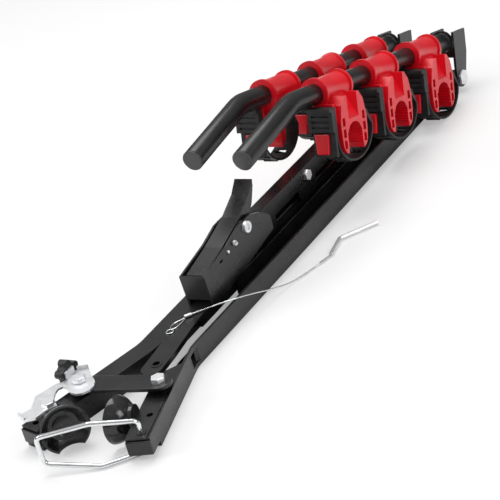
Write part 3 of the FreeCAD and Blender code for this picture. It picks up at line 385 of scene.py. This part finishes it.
@dataclass(frozen=True)
class GlossCasting:
    """Glossy black enamel on the cast ball cups, slightly wavy."""

    name: str = "cup_enamel"
    colour: Triple = (0.005, 0.005, 0.0055)
    rub: Triple = (0.05, 0.05, 0.052)
    roughness: float = 0.17

    def make(self) -> bpy.types.Material:
        """Returns the material."""
        s = Shader(self.name)
        wave = s.noise(70.0, 3.0)
        pits = s.noise(900.0, 2.0)
        rubbed = s.shaped(s.noise(210.0, 4.0), 0.55, 0.8)
        return s.dress(
            Base_Color=s.mix(rubbed * 0.6, self.colour, self.rub),
            Roughness=self.roughness + rubbed * 0.2 + (pits - 0.5) * 0.08,
            Coat_Weight=0.25, Coat_Roughness=0.12,
            Normal=s.bump(pits, 0.00004, 0.5, s.bump(wave, 0.0012, 0.4)),
        )


@dataclass(frozen=True)
class BrightSteel:
    """Bright drawn and plated wire with a fine draw grain."""

    name: str = "bright_wire"
    colour: Triple = (0.82, 0.83, 0.84)
    dull: Triple = (0.62, 0.63, 0.65)
    roughness: float = 0.16

    def make(self) -> bpy.types.Material:
        """Returns the material."""
        s = Shader(self.name)
        grain = s.noise(520.0, 3.0)
        return s.dress(
            Base_Color=s.mix(s.shaped(grain, 0.45, 0.8), self.colour, self.dull), Metallic=1.0,
            Roughness=self.roughness + (grain - 0.5) * 0.12, Normal=s.bump(grain, 0.00003, 0.4),
        )


FINISHES: dict[Slot, object] = {
    Slot.PAINT: PowderCoat(),
    Slot.ZINC: ZincPlate(),
    Slot.RED: RedPlastic(),
    Slot.RUBBER: Rubber(),
    Slot.PLASTIC: HardPlastic(),
    Slot.CASTING: GlossCasting(),
    Slot.CAP: HardPlastic("cap_plastic", (0.045, 0.046, 0.048), (0.075, 0.076, 0.08), 0.4),
    Slot.STEEL: BrightSteel(),
}


class Workshop:
    """The loaded frame, the finishes made so far and what every sub-assembly needs for its pieces."""

    def __init__(self, frame: dict) -> None:
        """Keeps the frame and makes each finish once."""
        self.frame = frame
        self.nodes: dict[str, bpy.types.Object] = frame["nodes"]
        self.body_of = {
            node: body for body, members in frame["record"]["behaviour"]["bodies"].items() for node in members
        }
        self.materials = {slot: finish.make() for slot, finish in FINISHES.items()}
        mid_x = middle(self.nodes["mast_spine"]).x
        self.datum = Vector((mid_x, middle(self.nodes["head_axle"]).y - HINGE_Y, 0.0))

    def paint(self, piece: bpy.types.Object, slot: Slot) -> None:
        """Gives a piece the finish of a slot and nothing else."""
        piece.data.materials.clear()
        piece.data.materials.append(self.materials[slot])

    def soften(self, node: str, width: float, angle: float = 32.0) -> None:
        """Rounds the edges of a CAD node with modifiers, which leave its mesh alone.

        Args:
            node: the node's name.
            width: the rounding in metres.
            angle: faces that meet at less than this many degrees keep their edge as it is.
        """
        piece = self.nodes[node]
        weld = piece.modifiers.new("weld", "WELD")
        weld.merge_threshold = 0.000004
        flat = piece.modifiers.new("flat", "DECIMATE")
        flat.decimate_type = "DISSOLVE"
        flat.angle_limit = math.radians(0.8)
        bevel = piece.modifiers.new("rounding", "BEVEL")
        bevel.width = width
        bevel.segments = 2
        bevel.limit_method = "ANGLE"
        bevel.angle_limit = math.radians(angle)
        bevel.harden_normals = False

    def adopt(self, piece: bpy.types.Object, body: str, slot: Slot) -> bpy.types.Object:
        """Paints a new piece in the finish of a slot and lets it ride on a body."""
        self.paint(piece, slot)
        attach(piece, body)
        LOG.info("piece %s rides on %s", piece.name, body)
        return piece


def middle(piece: bpy.types.Object) -> Vector:
    """Returns the middle of a piece's own box."""
    return sum((piece.matrix_world @ Vector(corner) for corner in piece.bound_box), Vector()) / 8


def lowest_x(piece: bpy.types.Object) -> float:
    """Returns the least X of a piece's own box."""
    return min((piece.matrix_world @ Vector(corner)).x for corner in piece.bound_box)


def round_edges(piece: bpy.types.Object, width: float, segments: int = 2) -> None:
    """Adds a bevel to the sharp edges of a new piece."""
    edge = piece.modifiers.new("edge", "BEVEL")
    edge.width = width
    edge.segments = segments
    edge.limit_method = "ANGLE"


def round_wire(name: str, points: tuple[Triple, ...], radius: float) -> bpy.types.Object:
    """Returns a smooth round wire on control points."""
    data = bpy.data.curves.new(name, "CURVE")
    data.dimensions = "3D"
    spline = data.splines.new("NURBS")
    spline.points.add(len(points) - 1)
    for point, place in zip(spline.points, points):
        point.co = (*place, 1.0)
    spline.order_u = 3
    spline.use_endpoint_u = True
    spline.resolution_u = 12
    data.bevel_depth = radius
    data.bevel_resolution = 4
    data.use_fill_caps = True
    piece = bpy.data.objects.new(name, data)
    bpy.context.scene.collection.objects.link(piece)
    return piece


def deselect() -> None:
    """Leaves edit mode and clears the selection."""
    if bpy.context.object and bpy.context.object.mode != "OBJECT":
        bpy.ops.object.mode_set(mode="OBJECT")
    for piece in bpy.context.selected_objects:
        piece.select_set(False)


def settle(piece: bpy.types.Object, angle: float = 35.0) -> bpy.types.Object:
    """Applies a piece's place and modifiers and smooths it by angle, so that it sits at the origin."""
    deselect()
    bpy.context.view_layer.objects.active = piece
    piece.select_set(True)
    for modifier in list(piece.modifiers):
        bpy.ops.object.modifier_apply(modifier=modifier.name)
    bpy.ops.object.transform_apply(location=True, rotation=True, scale=True)
    bpy.ops.object.shade_smooth_by_angle(angle=math.radians(angle))
    piece.select_set(False)
    return piece


@dataclass
class Studio:
    """White sweep, soft lamps and the camera at the photograph's angle."""

    eye: Triple = (1.40941, -1.51989, 1.16185)
    right: Triple = (0.84192, 0.47739, -0.25154)
    up: Triple = (-0.02596, 0.50145, 0.8648)
    back: Triple = (0.53898, -0.72156, 0.43457)
    focal_pixels: float = 1937.08
    floor_z: float = -0.0309
    floor_half: float = 4.0
    floor_centre_y: float = 0.5
    floor_glow: float = 0.36
    floor_tints: tuple[Triple, Triple] = ((0.93, 0.93, 0.93), (0.90, 0.90, 0.90))
    room_shades: tuple[tuple[float, float], ...] = ((0.0, 0.25), (0.12, 0.32), (0.45, 0.62), (0.8, 1.0))
    room_light: float = 0.62
    white: Triple = (1.0, 1.0, 1.0)
    aim: Triple = (0.0, 0.45, 0.05)
    lamps: tuple[tuple[str, Triple, float, float], ...] = (
        ("overhead", (-0.5, 0.9, 2.3), 34.0, 1.7),
        ("front_left", (-1.9, -1.1, 1.5), 20.0, 1.1),
        ("right", (2.1, 0.2, 1.2), 15.0, 1.0),
    )

    def camera(self) -> None:
        """Makes the camera and sets it as the scene's own."""
        data = bpy.data.cameras.new("camera")
        data.sensor_width = 36.0
        data.lens = self.focal_pixels * data.sensor_width / FRAME_PIXELS
        data.clip_start = 0.05
        data.clip_end = 60.0
        camera = bpy.data.objects.new("camera", data)
        bpy.context.scene.collection.objects.link(camera)
        back = Vector(self.back).normalized()
        right = (Vector(self.right) - back * Vector(self.right).dot(back)).normalized()
        up = back.cross(right)
        turn = Matrix((right, up, back)).transposed().to_4x4()
        camera.matrix_world = Matrix.Translation(self.eye) @ turn
        bpy.context.scene.camera = camera

    def floor(self) -> None:
        """Makes the pale floor, which shows white to the camera and keeps the soft shadow."""
        deselect()
        place = (0, self.floor_centre_y, self.floor_z)
        bpy.ops.mesh.primitive_plane_add(size=2 * self.floor_half, location=place)
        floor = bpy.context.object
        floor.name = "floor"
        s = Shader("pale_floor")
        s.dress(Base_Color=s.mix(s.noise(3.0, 2.0), *self.floor_tints), Roughness=0.7)
        glow = s.node("ShaderNodeEmission", Color=self.white, Strength=1.0)["Emission"]
        share = s.node("ShaderNodeLightPath")["Is Camera Ray"] * self.floor_glow
        both = s.blend(share, Wire(s.tree, s.surface.outputs[0]), glow)
        s.feed(s.output.inputs["Surface"], both)
        floor.data.materials.append(s.material)

    def world(self) -> None:
        """Makes the room: white to the camera, grey low down and bright above to metal."""
        world = bpy.data.worlds.new("room")
        world.use_nodes = True
        room = Nodes(world.node_tree)
        place = room.node("ShaderNodeTexCoord")["Generated"]
        height = room.node("ShaderNodeSeparateXYZ", Vector=place)["Z"]
        shade = room.node("ShaderNodeValToRGB", {"stops": self.room_shades}, Fac=height)["Color"]
        lit = room.node("ShaderNodeBackground", Color=shade, Strength=self.room_light)["Background"]
        seen = room.node("ShaderNodeBackground", Color=self.white)["Background"]
        rays = room.node("ShaderNodeLightPath")
        room.node("ShaderNodeOutputWorld", Surface=room.blend(rays["Is Camera Ray"], lit, seen))
        bpy.context.scene.world = world

    def lamp(self, name: str, place: Triple, power: float, size: float) -> None:
        """Makes a square lamp that points at the rack's middle."""
        data = bpy.data.lights.new(name, "AREA")
        data.energy = power
        data.size = size
        lamp = bpy.data.objects.new(name, data)
        bpy.context.scene.collection.objects.link(lamp)
        aim = Vector(self.aim) - Vector(place)
        lamp.location = place
        lamp.rotation_mode = "QUATERNION"
        lamp.rotation_quaternion = aim.to_track_quat("-Z", "Y")

    def build(self) -> None:
        """Makes the whole studio."""
        self.camera()
        self.world()
        for name, place, power, size in self.lamps:
            self.lamp(name, place, power, size)
        self.floor()
        bpy.context.scene.view_settings.view_transform = "Standard"
        LOG.info("studio is up")


@dataclass
class Lanyard:
    """Steel wire from the pull bar to the hitch pin, with its crimped loop; the ring and pin keep their CAD
    shape.
    """

    radius: float = 0.001
    route: tuple[Triple, ...] = (
        (0.003, 0.246, 0.0068), (0.024, 0.270, 0.0060), (0.043, 0.292, 0.0044),
        (0.053, 0.322, -0.005), (0.060, 0.352, -0.017), (0.067, 0.384, -0.0275),
        (0.076, 0.408, -0.0289), (0.083, 0.432, -0.0289),
    )
    loop: tuple[Triple, ...] = (
        (-0.0035, 0.237, 0.0052), (-0.008, 0.2312, 0.0052), (-0.0125, 0.2225, 0.0052),
        (-0.0112, 0.2135, 0.0052), (-0.007, 0.2098, 0.0052), (-0.003, 0.2125, 0.0052),
        (-0.0012, 0.222, 0.0052), (-0.0016, 0.2365, 0.0052),
    )
    length: float = 0.2155

    def build(self, shop: Workshop) -> None:
        route = tuple(tuple(shop.datum + Vector(point)) for point in self.route)
        loop = tuple(tuple(shop.datum + Vector(point)) for point in self.loop)
        wire = round_wire("lanyard_cable", route, self.radius)
        shop.adopt(wire, "pull_bar", Slot.STEEL)
        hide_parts("lanyard_wire")
        eye = round_wire("lanyard_eye", loop, self.radius * 0.8)
        shop.adopt(eye, "pull_bar", Slot.STEEL)
        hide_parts("lanyard_loop")


@dataclass
class Hardware:
    """Small bright fittings: the lever's pivot bolt, its spring and pin, and the knob's thread."""

    pivot: Triple = (0.0, 0.390, 0.057)
    head_radius: float = 0.0084
    head_ends: tuple[float, float] = (-0.0235, 0.0250)
    socket_radius: float = 0.0045
    socket_deep: float = 0.0032
    spring: Triple = (0.0200, 0.3549, 0.0522)
    spring_radius: float = 0.0031
    spring_wire: float = 0.0006
    spring_long: float = 0.0042
    spring_turns: float = 3.0
    pin: Triple = (0.0205, 0.3357, 0.0492)
    pin_radius: float = 0.0022
    pin_long: float = 0.005
    thread_wire: float = 0.00045
    thread_pitch: float = 0.0012
    thread_radius: float = 0.0040
    thread_clear: float = 0.001
    head_edge: float = 0.0008
    pin_edge: float = 0.0006
    steps: int = 12

    @staticmethod
    def drum(place: Vector, radius: float, depth: float, sides: int = 40) -> bpy.types.Object:
        """Returns a drum along X."""
        deselect()
        bpy.ops.mesh.primitive_cylinder_add(
            vertices=sides, radius=radius, depth=depth, location=place, rotation=(0.0, math.pi / 2, 0.0))
        return bpy.context.object

    def helix(
        self, name: str, start: Vector, reach: float, radius: float, turns: float, wire: float,
    ) -> bpy.types.Object:
        """Makes a coil of wire along X.

        Args:
            name: the piece's name.
            start: the low end of the coil's axis.
            reach: the coil's length.
            radius: the coil's radius.
            turns: how many turns it has.
            wire: the wire's radius.

        Returns:
            The coil.
        """
        count = round(turns * self.steps)
        points = []
        for index in range(count + 1):
            angle = 2 * math.pi * index / self.steps
            along = reach * index / count
            across = (radius * math.cos(angle), radius * math.sin(angle))
            points.append((start.x + along, start.y + across[0], start.z + across[1]))
        return round_wire(name, tuple(points), wire)

    def pivot_bolt(self, shop: Workshop) -> None:
        """Makes the lever's bolt with a domed head and a hexagon socket at each end."""
        low, high = self.head_ends
        centre = shop.datum + Vector(self.pivot)
        half_way = Vector(((low + high) / 2, 0, 0))
        bolt = self.drum(centre + half_way, self.head_radius, high - low)
        bolt.name = "lever_pivot_bolt"
        for end in (low, high):
            socket = self.drum(centre + Vector((end, 0, 0)), self.socket_radius, 2 * self.socket_deep, 6)
            cut = bolt.modifiers.new("socket", "BOOLEAN")
            cut.object = socket
            cut.solver = "EXACT"
            deselect()
            bpy.context.view_layer.objects.active = bolt
            bpy.ops.object.modifier_apply(modifier=cut.name)
            bpy.data.objects.remove(socket)
        round_edges(bolt, self.head_edge, 3)
        settle(bolt)
        shop.adopt(bolt, "mast", Slot.ZINC)
        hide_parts("lever_bolt")

    def build(self, shop: Workshop) -> None:
        """Makes all the fittings."""
        self.pivot_bolt(shop)
        spring = self.helix(
            "lever_return_spring", shop.datum + Vector(self.spring), self.spring_long, self.spring_radius,
            self.spring_turns, self.spring_wire)
        shop.adopt(spring, "mast", Slot.ZINC)
        pin = self.drum(shop.datum + Vector(self.pin), self.pin_radius, self.pin_long)
        pin.name = "spring_pin"
        round_edges(pin, self.pin_edge)
        settle(pin)
        shop.adopt(pin, "mast", Slot.ZINC)
        stud = middle(shop.nodes["knob_stud"])
        tip = lowest_x(shop.nodes["knob_stud"])
        reach = lowest_x(shop.nodes["star_knob"]) - tip - 2 * self.thread_clear
        start = Vector((tip + self.thread_clear, stud.y, stud.z))
        turns = reach / self.thread_pitch
        thread = self.helix("stud_thread", start, reach, self.thread_radius, turns, self.thread_wire)
        shop.adopt(thread, "jaw", Slot.ZINC)


@dataclass
class Rungs:
    """Raised rungs across each rubber strap's hanging loop, beside its holes."""

    hinge: Triple = (0.047, 0.983, -0.008)
    toe: float = 0.7
    tilt: float = 14.5
    first: float = 0.375
    pitch: float = 0.137
    arm_high: float = 0.058
    centre: tuple[float, float] = (0.006, -0.060)
    reach: tuple[float, float] = (0.0514, 0.0434)
    across: float = 0.019
    size: Triple = (0.022, 0.0050, 0.0022)
    turns: tuple[float, ...] = (12.5, 40.0, 54.0, 67.0, 79.0)
    cradles: tuple[int, ...] = (1, 2, 3)
    edge: float = 0.0005

    def build(self, shop: Workshop) -> None:
        """Makes the rungs of every strap as one piece for each."""
        for side in Side:
            hinge = Vector(self.hinge)
            hinge.x *= side.value
            toe = Matrix.Rotation(math.radians(-side.value * self.toe), 4, "Z")
            tilt = Matrix.Rotation(math.radians(-self.tilt), 4, "X")
            arm = Matrix.Translation(shop.datum + hinge) @ toe @ tilt
            for number in self.cradles:
                along = self.first - (number - 1) * self.pitch
                self.strap(shop, arm, side, number, along)

    def strap(self, shop: Workshop, arm: Matrix, side: Side, number: int, along: float) -> None:
        """Makes one strap's rungs.

        Args:
            shop: the workshop.
            arm: the arm's own frame.
            side: the arm's side.
            number: the cradle's number.
            along: how far from the hinge the cradle's middle is.
        """
        deselect()
        bars = []
        for turn in self.turns:
            for hand in (-1, 1):
                angle = math.radians(270 + hand * turn)
                place = Vector((
                    self.across * side.value,
                    -along + self.centre[0] + self.reach[0] * math.cos(angle),
                    self.arm_high + self.centre[1] + self.reach[1] * math.sin(angle),
                ))
                slope = math.atan2(self.reach[1] * math.cos(angle), -self.reach[0] * math.sin(angle))
                lean = Matrix.Rotation(slope, 4, "X")
                bpy.ops.mesh.primitive_cube_add(size=1.0)
                bar = bpy.context.object
                bar.matrix_world = arm @ Matrix.Translation(place) @ lean @ Matrix.Diagonal((*self.size, 1.0))
                bars.append(bar)
        deselect()
        for bar in bars:
            bar.select_set(True)
        bpy.context.view_layer.objects.active = bars[0]
        bpy.ops.object.join()
        rungs = bpy.context.object
        hand_name = side.name.lower()
        rungs.name = f"{hand_name}_strap_rungs_{number}"
        bpy.ops.object.transform_apply(location=True, rotation=True, scale=True)
        round_edges(rungs, self.edge)
        settle(rungs)
        shop.adopt(rungs, f"{hand_name}_arm", Slot.RUBBER)


@dataclass
class Ironwork:
    """All pieces that keep their CAD shape: their finish and the rounding of their edges."""

    sheet_edge: float = 0.0009
    moulded_edge: float = 0.0015
    small_edge: float = 0.0005
    plain: set[str] = field(default_factory=lambda: {
        "lanyard_ring", "lanyard_fork", "lanyard_ferrules", "hitch_pin", "bail", "head_axle",
    })

    def build(self, shop: Workshop) -> None:
        """Dresses every CAD node in the finish of its slot."""
        slots = {row["node"]: Slot(row["material_slot"]) for row in shop.frame["record"]["subparts"]}
        for node, piece in shop.nodes.items():
            slot = slots[node]
            shop.paint(piece, slot)
            if node in self.plain:
                continue
            width = self.moulded_edge if slot in (Slot.RED, Slot.PLASTIC, Slot.CAP) else self.sheet_edge
            if slot is Slot.ZINC or slot is Slot.RUBBER:
                width = self.small_edge
            shop.soften(node, width)
        LOG.info("%d nodes dressed", len(shop.nodes))


def main() -> None:
    """Builds the classes in order."""
    logging.basicConfig(level=logging.INFO, format="%(message)s")
    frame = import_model()
    deselect()
    shop = Workshop(frame)
    Studio().build()
    Ironwork().build(shop)
    Lanyard().build(shop)
    Hardware().build(shop)
    Rungs().build(shop)


if __name__ == "__main__":
    main()
